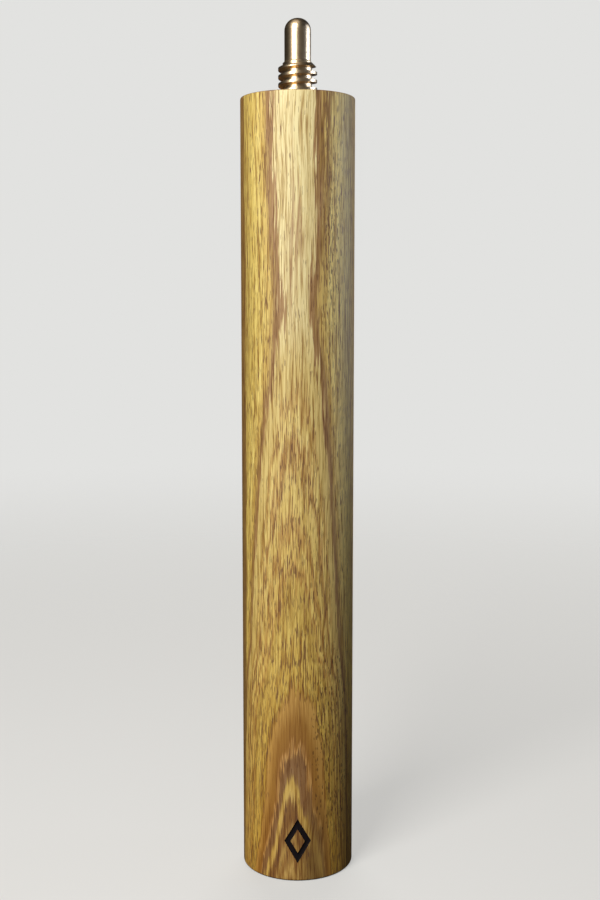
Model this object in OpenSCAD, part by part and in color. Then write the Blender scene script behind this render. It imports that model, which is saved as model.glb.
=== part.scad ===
// Butt extension for a two-piece cue: a turned hardwood cylinder with a quick-release brass
// joint pin bonded into its joint face and a matching brass socket bonded into its base.
// Units are millimetres. +Z runs along the piece, and the origin is the centre of the base.

/* [Body] */
// Diameter of the turned wooden body
body_d = 29.5; // [27:0.5:34]
// Length of the body from the base to the joint face
body_l = 203.2; // [100:0.1:320]
// Radius that breaks the edge round the joint face
joint_edge_r = 0.4; // [0.2:0.1:1]
// Radius that breaks the edge round the base
base_edge_r = 0.6; // [0.2:0.1:1.5]

/* [Burned mark] */
// Width of the lozenge burned into the front of the body
mark_w = 7; // [4:0.5:10]
// Height of the lozenge
mark_h = 12; // [8:0.5:16]
// Width of the lozenge's burned line
mark_line = 1.4; // [0.8:0.1:1.8]
// Depth of the burn
mark_depth = 0.25; // [0.1:0.05:0.5]
// Height of the lozenge's centre above the base
mark_z = 11; // [9:0.5:40]

/* [Joint pin] */
// How far the pin stands out of the joint face
pin_proud = 20; // [18:0.5:23]
// Diameter of the smooth pilot
pilot_d = 6.8; // [6.4:0.1:7]
// Corner radius of the round nose
nose_r = 3.1; // [1:0.1:3.1]
// Height of the pilot's foot above the joint face
pilot_foot = 9.25; // [8:0.25:11]
// Major diameter of the thread
thread_d = 10; // [9:0.1:11]
// Minor diameter of the thread
thread_root_d = 7.3; // [7.1:0.1:8]
// Pitch of the right-hand thread
thread_pitch = 2; // [1.5:0.1:2.5]

/* [Pin anchor] */
// Diameter of the plain anchor inside the wood
anchor_d = 9; // [8:0.5:12]
// Depth of the anchor's end below the joint face
anchor_depth = 34; // [25:1:45]
// Number of glue grooves round the anchor
anchor_grooves = 6; // [2:1:8]

/* [Base socket] */
// Outside diameter of the brass socket
socket_d = 14; // [13:0.5:16]
// Length of the brass socket
socket_l = 25; // [24:1:30]
// How far the socket's mouth sits inside the base
socket_inset = 0.3; // [0.1:0.1:1]
// Radial clearance between a pin and the socket's pilot bore
pilot_clearance = 0.05; // [0.02:0.01:0.1]
// Radial clearance between the threads
thread_clearance = 0.12; // [0.08:0.01:0.2]
// Number of glue grooves round the socket
socket_grooves = 5; // [2:1:6]

/* [Hidden] */

$fn = 96;
overlap = 0.2;

// The thread's ridge, in section: its width at the crest and at the root
crest_w = 0.35 * thread_pitch;
ridge_foot_w = 0.62 * thread_pitch;
// Height of the crest's middle above the joint face, on the +X side
crest_start = 0.3;
// Flat facets in one turn of a thread
turn_facets = 36;

body_r = body_d / 2;
pilot_r = pilot_d / 2;
root_r = thread_root_d / 2;
crest_r = thread_d / 2;
anchor_r = anchor_d / 2;
socket_r = socket_d / 2;

// The thread runs a little below the joint face, into a relief in the wood
thread_below = 1.2;
relief_r = crest_r + 0.4;
relief_depth = 2;
// Depth at which the anchor gives way to the slimmer neck under the thread
neck_depth = 3;
neck_r = 3.4;
anchor_end_r = 2.5;

groove_w = 1.5;
groove_depth = 0.5;
anchor_end_land = 3;
socket_end_land = 2.5;
anchor_groove_pitch = (anchor_depth - neck_depth - anchor_end_land - 1) / anchor_grooves;
socket_groove_pitch = (socket_l - 2 * socket_end_land) / socket_grooves;

// Inside of the socket, measured from its own mouth
socket_thread_depth = pilot_foot + 0.5;
socket_bore_depth = pin_proud + 1;
socket_bore_r = pilot_r + pilot_clearance;
socket_minor_r = root_r + thread_clearance;
socket_major_r = crest_r + thread_clearance;

// Half the section of a turned end: a flat face with a rounded outer corner, ready to spin round Z
module rounded_end(r, corner_r) {
    square([r - corner_r, corner_r]);
    translate([r - corner_r, 0]) intersection() {
        circle(corner_r);
        square(corner_r);
    }
}

// Half the section of a turned bar with both ends rounded over
module rounded_bar(r, l, low_r, high_r) {
    translate([0, low_r]) square([r, l - low_r - high_r]);
    translate([0, l - high_r]) rounded_end(r, high_r);
    translate([0, low_r]) mirror([0, 1]) rounded_end(r, low_r);
}

// The section of a screw ridge, at radius foot_r to top_r, widened by grow on each flank
function ridge_section(foot_r, top_r, grow) = [
    [foot_r - overlap, -ridge_foot_w / 2 - grow],
    [top_r, -crest_w / 2 - grow],
    [top_r, crest_w / 2 + grow],
    [foot_r - overlap, ridge_foot_w / 2 + grow],
];

// A right-hand helical ridge, from height low to height high, as one closed solid
module screw_ridge(section, low, high) {
    steps = ceil((high - low) / thread_pitch * turn_facets);
    first = floor((low - crest_start) / thread_pitch * turn_facets);
    corners = len(section);
    points = [
        for (i = [0 : steps])
            let (turn = (first + i) / turn_facets)
            for (p = section) [
                p[0] * cos(360 * turn),
                p[0] * sin(360 * turn),
                p[1] + crest_start + thread_pitch * turn
            ]
    ];
    sides = [
        for (i = [0 : steps - 1], j = [0 : corners - 1])
            let (a = i * corners + j, b = i * corners + (j + 1) % corners)
            each [[a, b, a + corners], [b, b + corners, a + corners]]
    ];
    ends = [
        [for (j = [corners - 1 : -1 : 0]) j],
        [for (j = [0 : corners - 1]) steps * corners + j]
    ];
    polyhedron(points, concat(sides, ends), convexity = 10);
}

// Rings cut round a plain shank
module glue_grooves(r, count, pitch) {
    for (i = [0 : count - 1]) translate([0, 0, i * pitch]) difference() {
        cylinder(r = r + 1, h = groove_w);
        translate([0, 0, -1]) cylinder(r = r - groove_depth, h = groove_w + 2);
    }
}

// A rhombus outline of even line width
module lozenge_line() {
    a = mark_w / 2;
    b = mark_h / 2;
    side_distance = a * b / sqrt(a * a + b * b);
    inner = (side_distance - mark_line) / side_distance;
    difference() {
        polygon([[a, 0], [0, b], [-a, 0], [0, -b]]);
        polygon([[a, 0], [0, b], [-a, 0], [0, -b]] * inner);
    }
}

// The shallow burn, wrapped onto the front of the body
module burned_mark() {
    intersection() {
        translate([0, 0, mark_z]) rotate([90, 0, 0]) linear_extrude(body_r + 1) lozenge_line();
        difference() {
            cylinder(r = body_r + 0.5, h = mark_z + mark_h);
            translate([0, 0, -1]) cylinder(r = body_r - mark_depth, h = mark_z + mark_h + 2);
        }
    }
}

// The turned body, drilled for the pin's anchor and for the socket
module wood_body() {
    color("goldenrod") difference() {
        rotate_extrude() rounded_bar(body_r, body_l, base_edge_r, joint_edge_r);
        translate([0, 0, body_l - anchor_depth - 1]) cylinder(r = anchor_r, h = anchor_depth + 2);
        translate([0, 0, body_l - relief_depth]) cylinder(r = relief_r, h = relief_depth + 1);
        translate([0, 0, -1]) cylinder(r = socket_r, h = socket_inset + socket_l + 1);
        burned_mark();
    }
}

// The core that everything on the pin stands on, measured from the joint face
module pin_core() {
    rotate_extrude() polygon([
        [0, -anchor_depth],
        [anchor_end_r, -anchor_depth],
        [anchor_r, -anchor_depth + anchor_r - anchor_end_r],
        [anchor_r, -neck_depth],
        [neck_r, -neck_depth],
        [neck_r, -thread_below],
        [root_r, -thread_below],
        [root_r, pilot_foot + pilot_r - root_r],
        [pilot_r, pilot_foot],
        [0, pilot_foot]
    ]);
    rotate_extrude() {
        translate([0, pilot_foot - overlap]) square([pilot_r, pin_proud - nose_r - pilot_foot + overlap]);
        translate([0, pin_proud - nose_r]) rounded_end(pilot_r, nose_r);
    }
}

// The bar that the thread is cut from, with its lead chamfer up to the pilot
module thread_blank() {
    rotate_extrude() polygon([
        [0, -thread_below],
        [crest_r, -thread_below],
        [crest_r, pilot_foot - (crest_r - pilot_r)],
        [pilot_r, pilot_foot],
        [0, pilot_foot]
    ]);
}

module joint_pin() {
    color("darkkhaki") translate([0, 0, body_l]) {
        difference() {
            pin_core();
            translate([0, 0, anchor_end_land - anchor_depth])
                glue_grooves(anchor_r, anchor_grooves, anchor_groove_pitch);
        }
        intersection() {
            screw_ridge(ridge_section(root_r, crest_r + overlap, 0), -4, pilot_foot + 2);
            thread_blank();
        }
    }
}

// The socket is drawn with its mouth at the origin and its bore running up +Z
module base_socket() {
    color("peru") translate([0, 0, socket_inset]) difference() {
        cylinder(r = socket_r, h = socket_l);
        translate([0, 0, socket_end_land]) glue_grooves(socket_r, socket_grooves, socket_groove_pitch);
        translate([0, 0, -1]) cylinder(r = socket_bore_r, h = socket_bore_depth + 1);
        translate([0, 0, -1]) cylinder(r = socket_minor_r, h = socket_thread_depth + 1);
        intersection() {
            screw_ridge(ridge_section(socket_minor_r, socket_major_r, thread_clearance), -3,
                socket_thread_depth + 2);
            translate([0, 0, -1]) cylinder(r = socket_major_r + 1, h = socket_thread_depth + 1);
        }
    }
}

wood_body();
joint_pin();
base_socket();
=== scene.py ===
"""Looks of a cue butt extension: an oiled hardwood cylinder with a burned lozenge near its base,
a turned brass joint pin bonded into its top and a brass socket bonded into its base.

Lengths are millimetres until a mesh or a light is made, because Blender works in metres here.
"""

import math

import bmesh
import bpy
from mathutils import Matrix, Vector
from mathutils.geometry import delaunay_2d_cdt

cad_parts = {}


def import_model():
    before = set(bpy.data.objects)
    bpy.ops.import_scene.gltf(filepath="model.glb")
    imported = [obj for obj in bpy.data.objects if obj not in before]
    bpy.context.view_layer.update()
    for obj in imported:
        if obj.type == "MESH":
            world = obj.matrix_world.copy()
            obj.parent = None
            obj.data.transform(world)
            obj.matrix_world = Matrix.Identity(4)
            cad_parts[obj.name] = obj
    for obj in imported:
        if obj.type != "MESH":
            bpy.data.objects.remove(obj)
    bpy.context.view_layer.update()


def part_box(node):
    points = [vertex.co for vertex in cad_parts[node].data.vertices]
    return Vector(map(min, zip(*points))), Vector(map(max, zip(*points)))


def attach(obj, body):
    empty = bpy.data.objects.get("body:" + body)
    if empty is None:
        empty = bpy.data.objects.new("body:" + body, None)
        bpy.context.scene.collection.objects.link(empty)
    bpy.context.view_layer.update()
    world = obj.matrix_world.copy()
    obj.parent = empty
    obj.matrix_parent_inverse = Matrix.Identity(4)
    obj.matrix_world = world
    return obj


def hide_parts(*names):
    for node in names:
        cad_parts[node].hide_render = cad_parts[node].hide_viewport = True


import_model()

MM = 0.001
PER_METRE = 1000


# ---------------------------------------------------------------- sizes

def node_span(node):
    """Lowest z, highest z and radius of a round CAD node, in millimetres."""
    low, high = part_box(node)
    return low.z / MM, high.z / MM, (high.x - low.x) / 2 / MM


BASE, FACE, BODY_R = node_span("wood_body")
ANCHOR_END, NOSE, _ = node_span("joint_pin")
MOUTH, SOCKET_TOP, SOCKET_R = node_span("base_socket")

JOINT_EDGE_R = 0.4
BASE_EDGE_R = 0.6

PITCH = 2.0
CREST_R = 5.0
ROOT_R = 3.65
CREST_HALF = 0.35
RIDGE_FOOT_HALF = 0.62
CREST_START = 0.3

PILOT_R = 3.4
PILOT_FOOT = 9.25
NOSE_R = 3.1
THREAD_BELOW = 1.2
THREAD_LEAD_SLOPE = 1.5
NECK_R = 3.4
NECK_DEPTH = 3
ANCHOR_R = 4.5
ANCHOR_TIP_R = 2.5
ANCHOR_GROOVES = 6
ANCHOR_LAND = 3
RELIEF_R = 5.4
RELIEF_DEPTH = 2
GROOVE_W = 1.5
GROOVE_DEPTH = 0.5
GROOVE_FLANK = 0.1

PILOT_CLEARANCE = 0.05
THREAD_CLEARANCE = 0.12
MOUTH_CHAMFER = 0.4
SOCKET_GROOVES = 5
SOCKET_LAND = 2.5
# Depths of the socket's thread and bore, each a little more than the pin needs
SOCKET_THREAD = PILOT_FOOT + 0.5
SOCKET_BORE = NOSE - FACE + 1

MARK_W = 7
MARK_H = 12
MARK_LINE = 1.4
MARK_DEPTH = 0.25
MARK_Z = 11

FRONT = -math.pi / 2

# Corners round a piece of brass, and rows up its thread and over its nose
BRASS_COLUMNS = 128
THREAD_ROWS = 150
NOSE_ROWS = 20
# How far under the nose lies the row that keeps the pilot's shading straight
SHADING_ROW = 0.02


# ---------------------------------------------------------------- mesh tools

def arc(centre_r, centre_z, radius, start, end, steps=6):
    """Rows round an arc of a turned outline. Angles are degrees, and 0 points away from the axis."""
    angles = [math.radians(start + (end - start) * i / steps) for i in range(steps + 1)]
    return [(centre_z + radius * math.sin(a), centre_r + radius * math.cos(a)) for a in angles]


def turned(rows, columns, left_out=frozenset()):
    """Points and faces of a closed turned solid.

    A row is (z, radius), and a radius may be a function of (turn, z). The rows run from axis to axis
    with the solid on their left. left_out holds the (row, column) faces that another mesh fills.
    """
    points = [(0, 0, rows[0][0])]
    for z, radius in rows[1:-1]:
        for column in range(columns):
            turn = column / columns
            r = radius(turn, z) if callable(radius) else radius
            angle = FRONT + math.tau * turn
            points.append((r * math.cos(angle), r * math.sin(angle), z))
    points.append((0, 0, rows[-1][0]))
    last_row = len(rows) - 2
    faces = []
    for column in range(columns):
        beside = column + 1
        faces.append((0, at(1, beside, columns), at(1, column, columns)))
        for row in range(1, last_row):
            if (row, column) not in left_out:
                faces.append((
                    at(row, column, columns),
                    at(row, beside, columns),
                    at(row + 1, beside, columns),
                    at(row + 1, column, columns),
                ))
        faces.append((at(last_row, column, columns), at(last_row, beside, columns), len(points) - 1))
    return points, faces


def at(row, column, columns):
    """Index of a turned solid's point."""
    return 1 + (row - 1) * columns + column % columns


def piece(name, points, faces, materials, sharp_angle=40):
    """A smooth-shaded mesh object in the row's frame, with edges kept crisp past sharp_angle."""
    mesh = bpy.data.meshes.new(name)
    mesh.from_pydata([Vector(p) * MM for p in points], [], faces)
    for material in materials:
        mesh.materials.append(material)
    mesh.shade_smooth()
    work = bmesh.new()
    work.from_mesh(mesh)
    for edge in work.edges:
        if edge.is_manifold and edge.calc_face_angle() > math.radians(sharp_angle):
            edge.smooth = False
    work.to_mesh(mesh)
    work.free()
    made = bpy.data.objects.new(name, mesh)
    bpy.context.scene.collection.objects.link(made)
    weighted = made.modifiers.new("even_shading", "WEIGHTED_NORMAL")
    weighted.keep_sharp = True
    return made


# ---------------------------------------------------------------- material tools

def linear(hex_colour):
    """An sRGB hex colour as linear RGBA."""
    parts = [int(hex_colour[i:i + 2], 16) / 255 for i in (1, 3, 5)]
    return (*[c / 12.92 if c <= 0.04045 else ((c + 0.055) / 1.055) ** 2.4 for c in parts], 1)


def add(tree, kind, inputs=None, stops=None, **settings):
    """Adds a shader node. An input is a value, a socket, or a node for its first output."""
    made = tree.nodes.new("ShaderNode" + kind)
    for name, value in settings.items():
        setattr(made, name, value)
    for key, value in (inputs or {}).items():
        if isinstance(value, bpy.types.Node):
            value = value.outputs[0]
        if isinstance(value, bpy.types.NodeSocket):
            tree.links.new(value, made.inputs[key])
        else:
            made.inputs[key].default_value = value
    if stops:
        ramp = made.color_ramp
        while len(ramp.elements) < len(stops):
            ramp.elements.new(1)
        for element, (place, colour) in zip(ramp.elements, stops):
            element.position = place
            element.color = linear(colour) if isinstance(colour, str) else (colour, colour, colour, 1)
    return made


def new_material(name):
    """A material with its node tree and its Principled shader."""
    material = bpy.data.materials.new(name)
    material.use_nodes = True
    return material, material.node_tree, material.node_tree.nodes["Principled BSDF"]


# Sockets of a Mix node that mixes colours
MIX_A, MIX_B, MIX_OUT = 6, 7, 2


# ---------------------------------------------------------------- materials

# The tree's pith, seen from the turned piece: behind it and a little to the right
PITH_X = 1.3
PITH_Y = 45
# Height of the figure's waist, how fast the rings lean away from it below and above, and how far
# above it they go on leaning
WAIST_Z = 149
LEAN_BELOW = 0.047
LEAN_ABOVE = 0.025
LEAN_REACH = 22
# Heights over which that lean begins on each side of the waist, and over which it stops
LEAN_BEGINS_BELOW = 5
LEAN_BEGINS_ABOVE = 10
LEAN_STOPS = 8
# How fast the pith drifts to the right below the waist, and above the rings' lean
ASIDE_BELOW = 0.032
ASIDE_ABOVE = 0.06

# The rings of the figure: each one's depth in millimetres under the outermost wood at the waist, its
# colour, and how thickly its pores and flecks lie. A depth below 0 is wood from further out in the
# tree, which shows only where the rings lean away from the surface.
FIGURE_RINGS = (
    (-7.3, "#A48864", 0.3),
    (-7.1, "#DACAA0", 0.2),
    (-6.9, "#A88A68", 0.4),
    (-6.72, "#D4C498", 0.3),
    (-6.55, "#A28464", 0.3),
    (-6.27, "#A88C6C", 0.3),
    (-6.18, "#E4D49C", 0.15),
    (-6.04, "#E4D290", 0.15),
    (-5.94, "#A08672", 0.3),
    (-5.65, "#987A62", 0.4),
    (-5.6, "#DABA88", 0.05),
    (-5.56, "#CAA276", 0.05),
    (-5.5, "#A07A46", 0.05),
    (-5.22, "#A88248", 0.05),
    (-5.04, "#BC985E", 0.0),
    (-4.8, "#D0AE70", 0.1),
    (-4.64, "#E0CA78", 0.9),
    (-4.1, "#E4CE80", 0.95),
    (-3.7, "#E6D488", 0.7),
    (-3.4, "#E8D68A", 0.5),
    (-3.15, "#D2AE70", 1.0),
    (-2.85, "#F4E49A", 0.5),
    (-2.55, "#CCA86C", 1.0),
    (-2.2, "#F6E8A0", 0.5),
    (-1.65, "#C8A46C", 1.0),
    (-1.3, "#F4E6A0", 0.5),
    (-1.0, "#CEAE72", 0.8),
    (-0.78, "#E2D090", 0.2),
    (0.06, "#E4D292", 0.2),
    (0.2, "#AC8A62", 0.45),
    (0.62, "#A28254", 0.6),
    (1.0, "#E6CE80", 0.6),
)
# Wood nearer the pith than that, round the sides and the back
DEEP_RINGS = (
    (1.0, "#E6CE80", 0.6),
    (1.6, "#EEDC8C", 0.65),
    (3.2, "#E6D27C", 0.6),
    (5.5, "#CDB868", 0.5),
    (8.5, "#C0A25E", 0.5),
    (25.0, "#C8A868", 0.5),
)

# Size of the grain's features across and along the fibres, in millimetres. Real fibres are far
# thinner than a strand, a thread or a hair here, and real pores are about half as wide. They are
# drawn this coarse so that they show.
WANDER = (16, 34)
TONGUE = (1.8, 18)
STRAND = (0.35, 10)
THREAD = (0.4, 14)
HAIR = (0.18, 8)
RIBBON = (0.5, 18)
FLECK = (0.22, 3)
PORE = (0.42, 1.6)
CHAR_FIBRE = (0.3, 2)
# Widest pore and the softness of its edge as shares of its cell, and how strongly it darkens
PORE_SIZE = 0.46
PORE_EDGE = 0.08
PORE_DARKNESS = 0.72
# How much the flecks gain in crowded rings and in a patch, and lose in the light of each season
FLECKS_IN_CROWD = 0.18
FLECKS_IN_PATCH = 0.055
FLECKS_IN_LIGHT = -0.2

# How far the noise can carry a fibre and a strand: across the front, in depth and up
WANDER_REACH = (3, 0.5, 0)
STRAND_REACH = (1.4, 1.4, 0)
# Depth of the feathering, the threads' part in it, and the middle of the noise it comes from
FEATHER = 0.5
FEATHER_THREADS = 0.6
FEATHER_MIDDLE = 0.8

# The arches are broadened and folded round a line this far left of the middle. Each bends the rings
# by the square of the distance from it, up to a limit that it nears softly.
BENDS_LEFT = 2
ARCH_BEND, ARCH_LIMIT, ARCH_SOFT = -0.013, 80, 20
FOLD_BEND, FOLD_LIMIT, FOLD_SOFT = 0.042, 10, 6

# Heights between which the wood changes from one character to the next
DENSE_TO_LOOSE = (40, 62)
ARCHES_BROADEN = (62, 48)
FOLD_GROWS = (33, 22)
# Heights over which a painted shade deepens the colour towards the base
PAINTED_SHADE_FADES = (0, 150)
# Heights over which the wood with few pores turns pale near the joint: partly real pale wood, partly
# painted sheen
PALE_AND_SHEEN_BEGINS = (134, 146)

# Patches in the wood: centre, reach along each axis, and the share of the reach that fades out
# Browner heartwood down the left side, which on that edge is also a painted shade
HEART_AND_SHADE_AT_LEFT = ((-16.4, -3, 130), (3.7, 6.2, 180), 0.1)
HEART_AT_FOOT = ((4.6, -14, 2), (5, 6, 24), 0.8)
# Painted shade: a dark brown patch low on the right side, in the heartwood's colour
PAINTED_SHADE_LOW_RIGHT = ((15.5, -2, 0), (3.5, 10, 60), 0.7)
HEART_THREADS = ((6.8, -13, 192), (2.6, 6, 46), 0.6)
MAUVE_FIBRES = ((-0.6, -14.7, 172), (3.4, 6, 34), 0.8)
MORE_FLECKS = ((9.2, -11.5, 170), (4.4, 6, 42), 0.6)
LOW_PORES = ((8.6, -11, 36), (6, 12, 32), 0.2)
HIGH_PORES = ((9, -11.5, 166), (4, 6, 38), 0.6)


def ring_depth(tree, place):
    """How deep under the waist's outermost wood each point lies, in millimetres along the rings."""
    split = add(tree, "SeparateXYZ", {0: place})
    below = add(tree, "Math", {0: WAIST_Z, 1: split.outputs["Z"]}, operation="SUBTRACT")
    below = add(tree, "Math", {0: below, 1: 0, 2: LEAN_BEGINS_BELOW}, operation="SMOOTH_MAX")
    above = add(tree, "Math", {0: split.outputs["Z"], 1: WAIST_Z}, operation="SUBTRACT")
    above = add(tree, "Math", {0: above, 1: 0, 2: LEAN_BEGINS_ABOVE}, operation="SMOOTH_MAX")
    near = add(tree, "Math", {0: above, 1: LEAN_REACH, 2: LEAN_STOPS}, operation="SMOOTH_MIN")
    beyond = add(tree, "Math", {0: above, 1: near}, operation="SUBTRACT")
    lean = add(tree, "Math", {0: below, 1: LEAN_BELOW}, operation="MULTIPLY")
    lean = add(tree, "Math", {0: near, 1: LEAN_ABOVE, 2: lean}, operation="MULTIPLY_ADD")
    pith_x = add(tree, "Math", {0: below, 1: ASIDE_BELOW, 2: PITH_X}, operation="MULTIPLY_ADD")
    pith_x = add(tree, "Math", {0: beyond, 1: ASIDE_ABOVE, 2: pith_x}, operation="MULTIPLY_ADD")
    pith_y = add(tree, "Math", {0: lean, 1: PITH_Y}, operation="ADD")
    pith = add(tree, "CombineXYZ", {"X": pith_x, "Y": pith_y, "Z": split.outputs["Z"]})
    radius = add(tree, "VectorMath", {0: place, 1: pith}, operation="DISTANCE")
    outermost = math.hypot(PITH_X, PITH_Y) + BODY_R
    return add(tree, "Math", {0: outermost, 1: radius.outputs["Value"]}, operation="SUBTRACT")


def ring_ramps(tree, depth, rings):
    """The colour and the crowding of the pores at a depth in a table of rings."""
    first, last = rings[0][0], rings[-1][0]
    share = add(tree, "MapRange", {"Value": depth, "From Min": first, "From Max": last})
    places = [(ring[0] - first) / (last - first) for ring in rings]
    colour = add(tree, "ValToRGB", {0: share}, stops=[(p, ring[1]) for p, ring in zip(places, rings)])
    crowd = add(tree, "ValToRGB", {0: share}, stops=[(p, ring[2]) for p, ring in zip(places, rings)])
    return colour, crowd


def patch(tree, place, centre, reach, soft):
    """A soft-edged patch in the wood: 1 inside, falling to 0 at its reach along each axis."""
    away = add(tree, "VectorMath", {0: place, 1: centre}, operation="SUBTRACT")
    away = add(tree, "VectorMath", {0: away, 1: [1 / r for r in reach]}, operation="MULTIPLY")
    away = add(tree, "VectorMath", {0: away}, operation="LENGTH")
    return add(tree, "MapRange", {"Value": away.outputs["Value"], "From Min": 1 - soft, "From Max": 1,
                                  "To Min": 1, "To Max": 0})


def stretched(tree, place, across, along):
    """Coordinates in which a fibre across mm wide and along mm long is one unit each way."""
    return add(tree, "VectorMath", {0: place, 1: (1 / across, 1 / across, 1 / along)},
               operation="MULTIPLY")


def between(places):
    """Limits of a change that begins at one place and is complete at the other."""
    return {"From Min": places[0], "From Max": places[1]}


def millimetres(tree):
    """Places on a piece, in millimetres in the row's frame."""
    metres = add(tree, "TexCoord").outputs["Object"]
    return add(tree, "VectorMath", {0: metres, "Scale": PER_METRE}, operation="SCALE")


def wandering(tree, place):
    """Interlocked grain: the fibres wander sideways by about half a millimetre."""
    drift = add(tree, "TexNoise", {"Vector": stretched(tree, place, *WANDER), "W": 41, "Scale": 1,
                                   "Detail": 1}, noise_dimensions="4D")
    drift = add(tree, "VectorMath", {0: drift.outputs["Color"], 1: (0.5, 0.5, 0.5)},
                operation="SUBTRACT")
    drift = add(tree, "VectorMath", {0: drift, 1: WANDER_REACH}, operation="MULTIPLY")
    return add(tree, "VectorMath", {0: place, 1: drift}, operation="ADD")


def stranded(tree, place, grain, loose):
    """Neighbouring strands slip a few tenths of a millimetre past each other, in the loose wood most."""
    slip = add(tree, "TexNoise", {"Vector": stretched(tree, place, *STRAND), "Scale": 1, "Detail": 2})
    slip = add(tree, "VectorMath", {0: slip.outputs["Color"], 1: (0.5, 0.5, 0.5)},
               operation="SUBTRACT")
    slip = add(tree, "VectorMath", {0: slip, 1: STRAND_REACH}, operation="MULTIPLY")
    slip = add(tree, "VectorMath", {0: slip, "Scale": loose}, operation="SCALE")
    return add(tree, "VectorMath", {0: grain, 1: slip}, operation="ADD")


def figure_depth(tree, grain, strands, threads, loose, height):
    """Depth in the rings, feathered along the fibres, with broader arches in the lowest quarter and a
    narrow fold at the base, both a little left of the middle."""
    tongues = add(tree, "TexNoise", {"Vector": stretched(tree, grain, *TONGUE), "W": 31, "Scale": 1,
                                     "Detail": 2}, noise_dimensions="4D")
    feather = add(tree, "Math", {0: threads, 1: FEATHER_THREADS, 2: tongues},
                  operation="MULTIPLY_ADD")
    feather = add(tree, "Math", {0: feather, 1: FEATHER_MIDDLE}, operation="SUBTRACT")
    feather = add(tree, "Math", {0: feather, 1: loose}, operation="MULTIPLY")
    depth = add(tree, "Math", {0: feather, 1: FEATHER, 2: ring_depth(tree, strands)},
                operation="MULTIPLY_ADD")

    aside = add(tree, "SeparateXYZ", {0: grain})
    aside = add(tree, "Math", {0: aside, 1: BENDS_LEFT}, operation="ADD")
    squared = add(tree, "Math", {0: aside, 1: aside}, operation="MULTIPLY")
    arch = add(tree, "Math", {0: squared, 1: ARCH_LIMIT, 2: ARCH_SOFT}, operation="SMOOTH_MIN")
    bend = add(tree, "MapRange", {"Value": height, **between(ARCHES_BROADEN), "To Max": ARCH_BEND})
    depth = add(tree, "Math", {0: arch, 1: bend, 2: depth}, operation="MULTIPLY_ADD")
    fold = add(tree, "Math", {0: squared, 1: FOLD_LIMIT, 2: FOLD_SOFT}, operation="SMOOTH_MIN")
    bend = add(tree, "MapRange", {"Value": height, **between(FOLD_GROWS), "To Max": FOLD_BEND})
    return add(tree, "Math", {0: fold, 1: bend, 2: depth}, operation="MULTIPLY_ADD")


def ring_colours(tree, depth, height):
    """The rings' colours, with a painted shade that makes them deeper and more golden towards the base,
    and how thickly the pores lie.
    """
    figure, figure_crowd = ring_ramps(tree, depth, FIGURE_RINGS)
    deep, deep_crowd = ring_ramps(tree, depth, DEEP_RINGS)
    deeper = add(tree, "Math", {0: depth, 1: DEEP_RINGS[0][0]}, operation="GREATER_THAN")
    rings = add(tree, "Mix", {0: deeper, MIX_A: figure, MIX_B: deep}, data_type="RGBA")
    crowd = add(tree, "Mix", {"Factor": deeper, "A": figure_crowd, "B": deep_crowd})
    share = add(tree, "MapRange", {"Value": height, **between(PAINTED_SHADE_FADES)})
    painted_base_shade = add(tree, "ValToRGB", {0: share},
               stops=[(0, "#FFE4A8"), (0.2, "#FFEEC4"), (0.5, "#FFF8E0"), (1, "#FFFFFF")])
    base_shaded = add(tree, "Mix", {0: 1, MIX_A: rings.outputs[MIX_OUT], MIX_B: painted_base_shade},
                 data_type="RGBA", blend_type="MULTIPLY")
    return base_shaded.outputs[MIX_OUT], crowd


def with_heartwood_and_shade(tree, colour, strands, threads):
    """Browner heartwood down the left side, partly painted shade on that edge, a painted shade low on
    the right in the heartwood's colour, and heartwood in threads on the upper right.
    """
    thin = add(tree, "MapRange", {"Value": threads, "From Min": 0.4, "From Max": 0.52})
    heart_and_shade = add(tree, "Math", {0: patch(tree, strands, *HEART_THREADS), 1: thin},
                operation="MULTIPLY")
    for area in (HEART_AND_SHADE_AT_LEFT, HEART_AT_FOOT, PAINTED_SHADE_LOW_RIGHT):
        heart_and_shade = add(tree, "Math", {0: heart_and_shade, 1: patch(tree, strands, *area)}, operation="MAXIMUM")
    return add(tree, "Mix", {0: heart_and_shade, MIX_A: colour, MIX_B: linear("#9E7E46")},
               data_type="RGBA").outputs[MIX_OUT]


def with_pale_wood_and_sheen(tree, colour, crowd, height):
    """The wood with few pores turns palest towards the joint, where the figure is widest. This is partly
    real pale wood and partly a painted sheen from the light near the top.
    """
    share = add(tree, "MapRange", {"Value": height, **between(PALE_AND_SHEEN_BEGINS), "To Max": 0.7})
    plain = add(tree, "MapRange", {"Value": crowd, "From Min": 0.4, "From Max": 0.15,
                                   "To Max": share})
    return add(tree, "Mix", {0: plain, MIX_A: colour, MIX_B: linear("#F2EABC")},
               data_type="RGBA").outputs[MIX_OUT]


def with_seasons(tree, colour, seasons, crowd):
    """Seasons inside each ring: bands a few tenths of a millimetre deep."""
    tone = add(tree, "ValToRGB", {0: seasons},
               stops=[(0.34, "#C0AA8C"), (0.48, "#F2ECE2"), (0.58, "#FFFFFF")])
    share = add(tree, "MapRange", {"Value": crowd, "From Min": 0.1, "From Max": 0.5,
                                   "To Max": 0.85})
    return add(tree, "Mix", {0: share, MIX_A: colour, MIX_B: tone},
               data_type="RGBA", blend_type="MULTIPLY").outputs[MIX_OUT]


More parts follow.
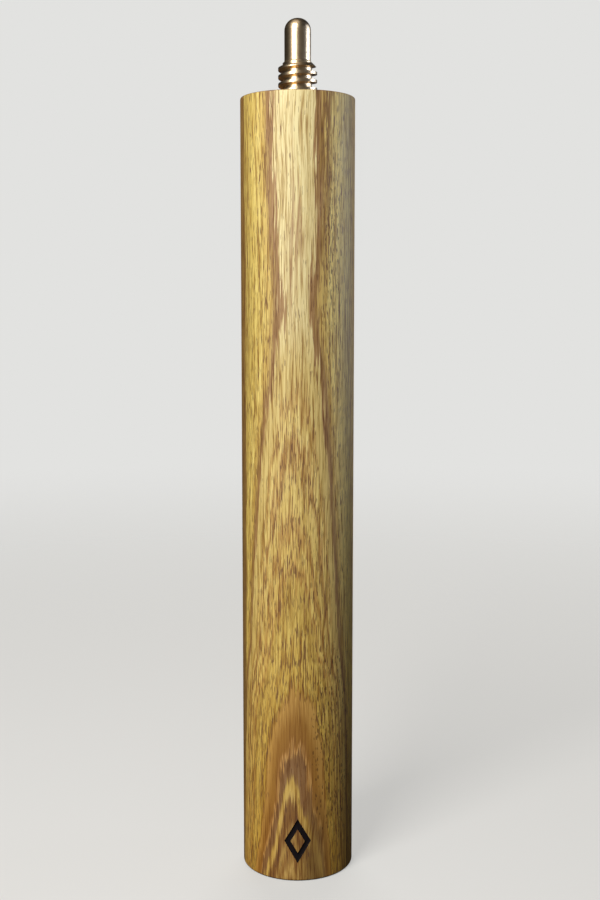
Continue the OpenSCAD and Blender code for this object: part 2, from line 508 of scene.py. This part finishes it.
def with_fibres(tree, colour, streaks, ribbons, crowd, strands):
    """Fibres: hair-thin streaks with wider ones between them, mauve-brown up the middle near the
    joint, and fainter in the dense wood."""
    tone = add(tree, "ValToRGB", {0: streaks},
               stops=[(0.36, "#A08466"), (0.43, "#D0BEA0"), (0.5, "#F8F4EC"), (0.58, "#FFFFFF")])
    share = add(tree, "MapRange", {"Value": crowd, "From Min": 0, "From Max": 0.12,
                                   "To Min": 0.45, "To Max": 1})
    streaked = add(tree, "Mix", {0: share, MIX_A: colour, MIX_B: tone},
                   data_type="RGBA", blend_type="MULTIPLY")
    mauve = add(tree, "MapRange", {"Value": ribbons, "From Min": 0.52, "From Max": 0.4,
                                   "To Max": 0.55})
    mauve = add(tree, "Math", {0: patch(tree, strands, *MAUVE_FIBRES), 1: mauve},
                operation="MULTIPLY")
    return add(tree, "Mix", {0: mauve, MIX_A: streaked.outputs[MIX_OUT], MIX_B: linear("#A27C62")},
               data_type="RGBA").outputs[MIX_OUT]


def with_flecks(tree, colour, grain, strands, seasons, crowd):
    """Flecks: short brown dashes where the vessels surface, crowded in some rings and in the dark
    part of each season."""
    flecks = add(tree, "TexNoise", {"Vector": stretched(tree, grain, *FLECK), "Scale": 1, "Detail": 1})
    more = patch(tree, strands, *MORE_FLECKS)
    flecks = add(tree, "Math", {0: crowd, 1: FLECKS_IN_CROWD, 2: flecks}, operation="MULTIPLY_ADD")
    flecks = add(tree, "Math", {0: more, 1: FLECKS_IN_PATCH, 2: flecks}, operation="MULTIPLY_ADD")
    flecks = add(tree, "Math", {0: seasons, 1: FLECKS_IN_LIGHT, 2: flecks}, operation="MULTIPLY_ADD")
    share = add(tree, "MapRange", {"Value": flecks, "From Min": 0.6, "From Max": 0.65})
    share = add(tree, "Math", {0: share, 1: 0.8}, operation="MULTIPLY")
    return add(tree, "Mix", {0: share, MIX_A: colour, MIX_B: linear("#6C4832")},
               data_type="RGBA").outputs[MIX_OUT]


def with_pores(tree, colour, place, grain):
    """Pores: near-black dashes on the right, where the grain dives into the surface. Returns the
    colour and where the pores are."""
    cells = add(tree, "TexVoronoi", {"Vector": stretched(tree, grain, *PORE), "Scale": 1})
    dive = add(tree, "Math", {0: patch(tree, place, *LOW_PORES), 1: patch(tree, place, *HIGH_PORES)},
               operation="MAXIMUM")
    luck = add(tree, "SeparateColor", {0: cells.outputs["Color"]})
    size = add(tree, "Math", {0: dive, 1: luck}, operation="MULTIPLY")
    size = add(tree, "Math", {0: size, 1: PORE_SIZE}, operation="MULTIPLY")
    inside = add(tree, "Math", {0: size, 1: cells.outputs["Distance"]}, operation="SUBTRACT")
    pore = add(tree, "MapRange", {"Value": inside, "From Min": 0, "From Max": PORE_EDGE})
    share = add(tree, "Math", {0: pore, 1: PORE_DARKNESS}, operation="MULTIPLY")
    pored = add(tree, "Mix", {0: share, MIX_A: colour, MIX_B: linear("#402816")}, data_type="RGBA")
    return pored.outputs[MIX_OUT], pore


def with_end_grain(tree, colour):
    """End grain drinks more oil, so the rims and end faces are darker and redder."""
    facing = add(tree, "SeparateXYZ", {0: add(tree, "NewGeometry").outputs["True Normal"]})
    facing = add(tree, "Math", {0: facing.outputs["Z"]}, operation="ABSOLUTE")
    share = add(tree, "MapRange", {"Value": facing, "From Min": 0.2, "From Max": 0.8})
    return add(tree, "Mix", {0: share, MIX_A: colour, MIX_B: linear("#9C866E")},
               data_type="RGBA", blend_type="MULTIPLY").outputs[MIX_OUT]


def hardwood():
    """Fine-sanded, oiled tropical hardwood: nested rings feathered along the fibres, pale and reddish
    streaks, and short dark pores, under a soft satin film."""
    material, tree, shader = new_material("oiled_golden_hardwood")
    place = millimetres(tree)
    height = add(tree, "SeparateXYZ", {0: place}).outputs["Z"]
    loose = add(tree, "MapRange", {"Value": height, **between(DENSE_TO_LOOSE),
                                   "To Min": 0.42, "To Max": 1})
    grain = wandering(tree, place)
    strands = stranded(tree, place, grain, loose)
    threads = add(tree, "TexNoise", {"Vector": stretched(tree, grain, *THREAD), "Scale": 1,
                                     "Detail": 1})
    hairs = add(tree, "TexNoise", {"Vector": stretched(tree, grain, *HAIR), "Scale": 1,
                                   "Detail": 2, "Roughness": 0.6})
    ribbons = add(tree, "TexNoise", {"Vector": stretched(tree, grain, *RIBBON), "Scale": 1,
                                     "Detail": 2})
    streaks = add(tree, "Mix", {"Factor": 0.42, "A": hairs, "B": ribbons})

    depth = figure_depth(tree, grain, strands, threads, loose, height)
    seasons = add(tree, "TexNoise", {"W": depth, "Scale": 2.4, "Detail": 2}, noise_dimensions="1D")
    colour, crowd = ring_colours(tree, depth, height)
    colour = with_heartwood_and_shade(tree, colour, strands, threads)
    colour = with_pale_wood_and_sheen(tree, colour, crowd, height)
    colour = with_seasons(tree, colour, seasons, crowd)
    colour = with_fibres(tree, colour, streaks, ribbons, crowd, strands)
    colour = with_flecks(tree, colour, grain, strands, seasons, crowd)
    colour, pore = with_pores(tree, colour, place, grain)
    tree.links.new(with_end_grain(tree, colour), shader.inputs["Base Color"])

    # The oil film is a little duller over the dark streaks, and sinks into them and into the pores
    sheen = add(tree, "MapRange", {"Value": streaks, "From Min": 0.35, "From Max": 0.6,
                                   "To Min": 0.66, "To Max": 0.54})
    tree.links.new(sheen.outputs[0], shader.inputs["Roughness"])
    relief = add(tree, "Math", {0: pore, 1: -0.6, 2: streaks}, operation="MULTIPLY_ADD")
    bump = add(tree, "Bump", {"Strength": 0.5, "Distance": 0.05 * MM, "Height": relief})
    tree.links.new(bump.outputs[0], shader.inputs["Normal"])
    return material


def charred_wood():
    """Wood burned away by a laser: matt purple-black char with the fibres still in it."""
    material, tree, shader = new_material("laser_charred_wood")
    place = millimetres(tree)
    fibres = add(tree, "TexNoise", {"Vector": stretched(tree, place, *CHAR_FIBRE), "Scale": 1,
                                    "Detail": 3})
    tone = add(tree, "ValToRGB", {0: fibres}, stops=[(0.3, "#060306"), (0.7, "#150A12")])
    tree.links.new(tone.outputs[0], shader.inputs["Base Color"])
    shader.inputs["Roughness"].default_value = 0.8
    shader.inputs["Specular IOR Level"].default_value = 0.25
    bump = add(tree, "Bump", {"Strength": 0.6, "Distance": 0.06 * MM, "Height": fibres})
    tree.links.new(bump.outputs[0], shader.inputs["Normal"])
    return material


# Lines of the lathe tool in a millimetre of brass, and patches of tarnish in a millimetre
TOOL_LINES = 14
BLOOM = 0.5


def brass():
    """Free-cutting brass turned on a lathe and buffed: pale gold with fine rings from the tool."""
    material, tree, shader = new_material("turned_buffed_brass")
    place = millimetres(tree)
    split = add(tree, "SeparateXYZ", {0: place})
    flat = add(tree, "VectorMath", {0: place, 1: (1, 1, 0)}, operation="MULTIPLY")
    radius = add(tree, "VectorMath", {0: flat}, operation="LENGTH")
    outline = add(tree, "CombineXYZ", {"X": radius.outputs["Value"], "Y": 0, "Z": split.outputs["Z"]})
    lines = add(tree, "TexNoise", {"Vector": outline, "Scale": TOOL_LINES, "Detail": 3,
                                   "Roughness": 0.6})
    bloom = add(tree, "TexNoise", {"Vector": place, "Scale": BLOOM, "Detail": 3})
    tone = add(tree, "ValToRGB", {0: bloom}, stops=[(0.3, "#D0B896"), (0.7, "#DAC6A4")])
    tree.links.new(tone.outputs[0], shader.inputs["Base Color"])
    shader.inputs["Metallic"].default_value = 1
    rough = add(tree, "MapRange", {"Value": lines, "From Min": 0.3, "From Max": 0.7,
                                   "To Min": 0.27, "To Max": 0.38})
    tree.links.new(rough.outputs[0], shader.inputs["Roughness"])
    bump = add(tree, "Bump", {"Strength": 0.5, "Distance": 0.006 * MM, "Height": lines})
    tree.links.new(bump.outputs[0], shader.inputs["Normal"])
    return material


# ---------------------------------------------------------------- joint pin and socket

def ridge_height(turn, z, start, extra=0.0):
    """Share of the thread's full height at a height z above the thread's datum."""
    off_crest = abs((z - start - PITCH * turn + PITCH / 2) % PITCH - PITCH / 2)
    flank = RIDGE_FOOT_HALF - CREST_HALF
    share = (RIDGE_FOOT_HALF + extra - off_crest) / flank
    return min(1, max(0, share))


def quarter_turn(turn):
    """Turns counted from the +X side, where the thread's datum is."""
    return turn - 0.25


def grooves(low, high, r, count, land):
    """Rows of glue grooves in a plain shank from low to high, going up."""
    pitch = (high - low - land) / count
    rows = []
    for i in range(count):
        z = low + i * pitch
        rows += [
            (z, r),
            (z + GROOVE_FLANK, r - GROOVE_DEPTH),
            (z + GROOVE_W - GROOVE_FLANK, r - GROOVE_DEPTH),
            (z + GROOVE_W, r),
        ]
    return rows


def pin_rows():
    """The pin's outline, from the anchor's end to the tip of the nose."""
    def thread(turn, z):
        above = z - FACE
        ridge = ridge_height(quarter_turn(turn), above, CREST_START)
        r = ROOT_R + (CREST_R - ROOT_R) * ridge
        cone = PILOT_R + (PILOT_FOOT - above)
        lead = NECK_R + THREAD_LEAD_SLOPE * (above + THREAD_BELOW)
        return min(r, cone, lead)

    shoulder = ANCHOR_R - ANCHOR_TIP_R
    neck = FACE - NECK_DEPTH
    low, high = FACE - THREAD_BELOW, FACE + PILOT_FOOT
    return [
        (ANCHOR_END, 0),
        (ANCHOR_END, ANCHOR_TIP_R),
        (ANCHOR_END + shoulder, ANCHOR_R),
        *grooves(ANCHOR_END + ANCHOR_LAND, neck, ANCHOR_R, ANCHOR_GROOVES, 1),
        (neck, ANCHOR_R),
        (neck, NECK_R),
        *[(low + (high - low) * i / THREAD_ROWS, thread) for i in range(THREAD_ROWS + 1)],
        (NOSE - NOSE_R - SHADING_ROW, PILOT_R),
        *arc(PILOT_R - NOSE_R, NOSE - NOSE_R, NOSE_R, 0, 90, NOSE_ROWS),
        (NOSE, 0),
    ]


def joint_pin(finish):
    """Brass joint pin: grooved anchor, right-hand thread, smooth pilot and round nose."""
    made = piece("brass_joint_pin", *turned(pin_rows(), BRASS_COLUMNS), [finish])
    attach(made, "root")
    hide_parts("joint_pin")


def socket_rows():
    """The socket's outline, from the end of its bore, down the bore, and up the outside."""
    def thread(turn, z):
        ridge = ridge_height(quarter_turn(turn), z - MOUTH, CREST_START, THREAD_CLEARANCE)
        r = ROOT_R + (CREST_R - ROOT_R) * ridge + THREAD_CLEARANCE
        return max(r, CREST_R + MOUTH_CHAMFER - (z - MOUTH))

    bore_r = PILOT_R + PILOT_CLEARANCE
    top = MOUTH + SOCKET_THREAD
    outside = grooves(MOUTH + SOCKET_LAND, SOCKET_TOP - SOCKET_LAND, SOCKET_R, SOCKET_GROOVES, 0)
    return [
        (MOUTH + SOCKET_BORE, 0),
        (MOUTH + SOCKET_BORE, bore_r),
        (top, bore_r),
        *[(top - (top - MOUTH) * i / THREAD_ROWS, thread) for i in range(THREAD_ROWS + 1)],
        (MOUTH, SOCKET_R),
        *outside,
        (SOCKET_TOP, SOCKET_R),
        (SOCKET_TOP, 0),
    ]


def base_socket(finish):
    """Brass socket in the base, threaded for the next pin."""
    made = piece("brass_base_socket", *turned(socket_rows(), BRASS_COLUMNS), [finish])
    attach(made, "root")
    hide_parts("base_socket")


# ---------------------------------------------------------------- wooden body

BODY_COLUMNS = 288
# Rows up the plain wall above the mark's patch
WALL_ROWS = 46
# Bevel at the mouth of each hole
HOLE_BEVEL = 0.12
# How much deeper than the anchor its hole is drilled
ANCHOR_ROOM = 1
# The mark's patch spans this many columns on each side of the front, and these heights
PATCH_HALF = 22
PATCH_LOW = 2
PATCH_HIGH = 20
PATCH_ROWS = 18
# How far the burn spreads past the line's edges, and over what width it reaches its full depth
BURN_SPREAD = 0.03
BURN_SLOPE = 0.2
# Distances into the line at which loops of points follow it, and the room kept round them
BURN_LOOPS = (-BURN_SPREAD, 0.02, 0.08, 0.17)
LOOP_ROOM = 0.3


def mark_level(x, z):
    """Distance from the mark's centre to the rhombus through this point, square to its sides."""
    half_w, half_h = MARK_W / 2, MARK_H / 2
    return (abs(x) * half_h + abs(z - MARK_Z) * half_w) / math.hypot(half_w, half_h)


MARK_OUTER = mark_level(MARK_W / 2, MARK_Z)
MARK_INNER = MARK_OUTER - MARK_LINE


def burn_depth(level):
    """Depth of the burn: nothing outside the line, and its full depth a little way inside it."""
    into_line = min(MARK_OUTER - level, level - MARK_INNER)
    share = min(1, max(0, (into_line + BURN_SPREAD) / BURN_SLOPE))
    return MARK_DEPTH * math.sqrt(share)


def rhombus(level, steps=22):
    """Points round the rhombus at a level of the mark."""
    half_w = level * math.hypot(MARK_W, MARK_H) / MARK_H
    half_h = level * math.hypot(MARK_W, MARK_H) / MARK_W
    corners = [(half_w, 0), (0, half_h), (-half_w, 0), (0, -half_h)]
    return [
        Vector((a[0] + (b[0] - a[0]) * i / steps, MARK_Z + a[1] + (b[1] - a[1]) * i / steps))
        for a, b in zip(corners, corners[1:] + corners[:1])
        for i in range(steps)
    ]


def marked_patch(points, faces, rows, first_row):
    """Fills the gap in the body's front with triangles that follow the burned rhombus."""
    last_row = first_row + PATCH_ROWS
    columns = range(-PATCH_HALF, PATCH_HALF + 1)
    inner_rows = range(first_row + 1, last_row)
    rim = [(row, column) for row in (first_row, last_row) for column in columns]
    rim += [(row, column) for row in inner_rows for column in (-PATCH_HALF, PATCH_HALF)]

    def flat(row, column):
        return Vector((BODY_R * math.sin(math.tau * column / BODY_COLUMNS), rows[row][0]))

    plan = [flat(*spot) for spot in rim]
    for row in inner_rows:
        for column in columns[1:-1]:
            spot = flat(row, column)
            if not MARK_INNER - LOOP_ROOM < mark_level(*spot) < MARK_OUTER + LOOP_ROOM:
                plan.append(spot)
    cuts = []
    for edge, way in ((MARK_OUTER, -1), (MARK_INNER, 1)):
        for into in BURN_LOOPS:
            loop = rhombus(edge + way * into)
            start = len(plan)
            cuts += [(start + i, start + (i + 1) % len(loop)) for i in range(len(loop))]
            plan += loop
    plan += rhombus((MARK_OUTER + MARK_INNER) / 2)

    spots, _, triangles, sources, _, _ = delaunay_2d_cdt(plan, cuts, [], 0, 1e-6)
    index = {}
    for i, spot in enumerate(spots):
        known = [s for s in sources[i] if s < len(rim)]
        if known:
            row, column = rim[known[0]]
            index[i] = at(row, column, BODY_COLUMNS)
            continue
        level = mark_level(*spot)
        shrink = 1 - burn_depth(level) / BODY_R
        y = -math.sqrt(BODY_R ** 2 - spot.x ** 2)
        index[i] = len(points)
        points.append((spot.x * shrink, y * shrink, spot.y))
    charred = []
    for triangle in triangles:
        level = sum(mark_level(*spots[i]) for i in triangle) / 3
        if MARK_INNER < level < MARK_OUTER:
            charred.append(len(faces))
        faces.append(tuple(index[i] for i in triangle))
    return charred


def wooden_body(finish, char):
    """Turned body with its edges broken, drilled at both ends, with the burned lozenge sunk into it."""
    anchor_floor = ANCHOR_END - ANCHOR_ROOM
    rows = [
        (SOCKET_TOP, 0),
        (SOCKET_TOP, SOCKET_R),
        (BASE + HOLE_BEVEL, SOCKET_R),
        (BASE, SOCKET_R + HOLE_BEVEL),
        *arc(BODY_R - BASE_EDGE_R, BASE + BASE_EDGE_R, BASE_EDGE_R, -90, 0),
    ]
    first_row = len(rows)
    patch_step = (PATCH_HIGH - PATCH_LOW) / PATCH_ROWS
    rows += [(PATCH_LOW + patch_step * i, BODY_R) for i in range(PATCH_ROWS + 1)]
    wall_top = FACE - JOINT_EDGE_R
    wall_step = (wall_top - PATCH_HIGH) / WALL_ROWS
    rows += [(PATCH_HIGH + wall_step * i, BODY_R) for i in range(1, WALL_ROWS)]
    rows += [
        *arc(BODY_R - JOINT_EDGE_R, wall_top, JOINT_EDGE_R, 0, 90),
        (FACE, RELIEF_R + HOLE_BEVEL),
        (FACE - HOLE_BEVEL, RELIEF_R),
        (FACE - RELIEF_DEPTH, RELIEF_R),
        (FACE - RELIEF_DEPTH, ANCHOR_R),
        (anchor_floor, ANCHOR_R),
        (anchor_floor, 0),
    ]
    gap = {
        (row, column % BODY_COLUMNS)
        for row in range(first_row, first_row + PATCH_ROWS)
        for column in range(-PATCH_HALF, PATCH_HALF)
    }
    points, faces = turned(rows, BODY_COLUMNS, gap)
    charred = marked_patch(points, faces, rows, first_row)
    made = piece("hardwood_body", points, faces, [finish, char])
    for i in charred:
        made.data.polygons[i].material_index = 1
    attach(made, "root")
    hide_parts("wood_body")


# ---------------------------------------------------------------- stage

PALE = "#E2E2E0"
CAMERA_PLACE = (0.6, -328.8, 149.4)
# Angle between the view and straight down, in degrees
CAMERA_TILT = 83.6
# Distances from the object, in metres, over which the floor fades into the backdrop
FLOOR_FADES = (0.15, 0.9)


def camera():
    """A 50 mm lens a third of a metre in front, level with the body's upper half and tilted down."""
    data = bpy.data.cameras.new("camera")
    data.lens = 50
    data.sensor_width = 36
    data.clip_start = 0.01
    data.clip_end = 50
    made = bpy.data.objects.new("camera", data)
    made.location = Vector(CAMERA_PLACE) * MM
    made.rotation_euler = (math.radians(CAMERA_TILT), 0, 0)
    bpy.context.scene.collection.objects.link(made)
    bpy.context.scene.camera = made


def softbox(name, aim, azimuth, elevation, distance, size, watts, colour):
    """A rectangular light that faces aim. Azimuth 0 is in front, and 90 is on the right. Angles are
    degrees, and lengths are metres."""
    data = bpy.data.lights.new(name, "AREA")
    data.shape = "RECTANGLE"
    data.size, data.size_y = size
    data.energy = watts
    data.color = linear(colour)[:3]
    made = bpy.data.objects.new(name, data)
    a, e = math.radians(azimuth), math.radians(elevation)
    way = Vector((math.sin(a) * math.cos(e), -math.cos(a) * math.cos(e), math.sin(e)))
    made.location = aim + way * distance
    made.rotation_euler = way.to_track_quat("Z", "Y").to_euler()
    bpy.context.scene.collection.objects.link(made)
    return made


def lights():
    """A key box on the left of the camera, two cool boxes close on the right, which fade down the
    body, dim fills in front and above, and two boxes behind for the back of the object."""
    face = Vector((0, 0, FACE * MM))
    pin = face + Vector((0, 0, 0.015))
    softbox("key", face, azimuth=-30, elevation=30, distance=0.5, size=(0.24, 0.42),
            watts=4.15, colour="#FFFBF4")
    rim = softbox("rim", pin, azimuth=96, elevation=0, distance=0.27, size=(0.06, 0.1),
                  watts=0.055, colour="#E8F0FF")
    rim.data.spread = math.radians(92)
    sheen = softbox("sheen", pin, azimuth=106, elevation=0, distance=0.2, size=(0.13, 0.26),
                    watts=0.145, colour="#DCE8FF")
    sheen.data.spread = math.radians(105)
    sheen.visible_diffuse = False
    softbox("fill", face, azimuth=40, elevation=12, distance=1.4, size=(1.2, 1.0),
            watts=0.25, colour="#FFF4E4")
    softbox("top", face, azimuth=-50, elevation=70, distance=0.9, size=(0.8, 0.8),
            watts=1.3, colour="#FFF0E0")
    back = softbox("back", face, azimuth=180, elevation=40, distance=1.2, size=(0.8, 0.6),
                   watts=8, colour="#FFFBF4")
    back.visible_glossy = False
    quarter = softbox("quarter", face, azimuth=148, elevation=4, distance=1.2, size=(0.5, 0.6),
                      watts=2.6, colour="#FFFBF4")
    quarter.visible_glossy = False


def world():
    """A pale backdrop that the camera sees, with only a little of it lighting the object."""
    made = bpy.data.worlds.new("studio")
    made.use_nodes = True
    tree = made.node_tree
    shown = tree.nodes["Background"]
    shown.inputs["Color"].default_value = linear(PALE)
    glow = add(tree, "Background", {"Color": linear("#8C8C90"), "Strength": 0.05})
    path = add(tree, "LightPath")
    both = add(tree, "MixShader", {0: path.outputs["Is Camera Ray"], 1: glow, 2: shown})
    tree.links.new(both.outputs[0], tree.nodes["World Output"].inputs["Surface"])
    bpy.context.scene.world = made


def floor():
    """A plain pale floor that runs into the backdrop with no visible edge."""
    material, tree, shader = new_material("matt_pale_paper")
    shader.inputs["Base Color"].default_value = linear("#8C8C8C")
    shader.inputs["Roughness"].default_value = 1
    shader.inputs["Specular IOR Level"].default_value = 0
    shader.inputs["Emission Color"].default_value = linear("#B0B0AE")
    shader.inputs["Emission Strength"].default_value = 1
    spot = add(tree, "TexCoord").outputs["Object"]
    reach = add(tree, "VectorMath", {0: spot}, operation="LENGTH")
    far = add(tree, "MapRange", {"Value": reach.outputs["Value"], **between(FLOOR_FADES)},
              interpolation_type="SMOOTHSTEP")
    clear = add(tree, "BsdfTransparent")
    both = add(tree, "MixShader", {0: far, 1: shader, 2: clear})
    tree.links.new(both.outputs[0], tree.nodes["Material Output"].inputs["Surface"])
    mesh = bpy.data.meshes.new("floor")
    corners = [(-1, -1, 0), (1, -1, 0), (1, 1, 0), (-1, 1, 0)]
    mesh.from_pydata(corners, [], [(0, 1, 2, 3)])
    mesh.materials.append(material)
    made = bpy.data.objects.new("floor", mesh)
    bpy.context.scene.collection.objects.link(made)
    made.visible_glossy = False
    made.visible_diffuse = False


camera()
bpy.context.scene.view_settings.view_transform = "Standard"
world()
lights()
floor()
gold = brass()
joint_pin(gold)
base_socket(gold)
wooden_body(hardwood(), charred_wood())
